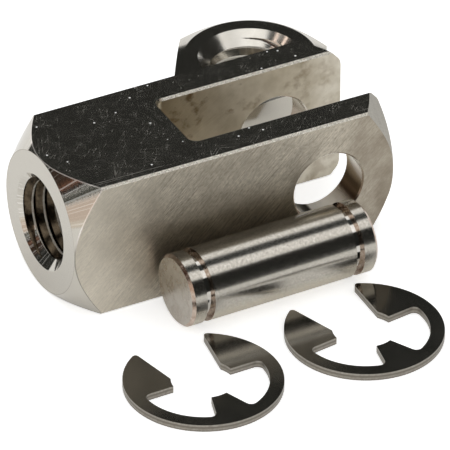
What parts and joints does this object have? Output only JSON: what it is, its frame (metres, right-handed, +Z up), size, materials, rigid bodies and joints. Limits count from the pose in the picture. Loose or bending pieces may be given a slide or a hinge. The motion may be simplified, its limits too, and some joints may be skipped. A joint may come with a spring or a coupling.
{
  "type": "clevis rod end",
  "caption": "Square-bar clevis rod end with a tapped shank, set out with its cross pin, E-shaped retaining clips and lock nut.",
  "frame": {"origin": "where the cross bore's axis meets the fork's axis, between the two cheeks", "axes": "+X along the fork out of its mouth, -X out of the thread, +Y along the cross bore towards the lock nut, +Z up from the surface that the set lies on"},
  "size_m": [0.0374, 0.0491, 0.0126],
  "materials": {
    "fork_steel": "milled and brushed stainless steel, with turned ends and bright deburred edges",
    "pin_steel": "turned stainless steel with fine rings and flat faced ends",
    "clip_steel": "smooth stamped spring steel with brighter sheared edges",
    "nut_steel": "smooth turned and tapped stainless steel"
  },
  "bodies": {
    "root": {"clevis_fork": "fork_steel", "clevis_pin": "pin_steel", "retaining_clip_left": "clip_steel", "retaining_clip_right": "clip_steel", "lock_nut": "nut_steel"}
  },
  "joints": []
}
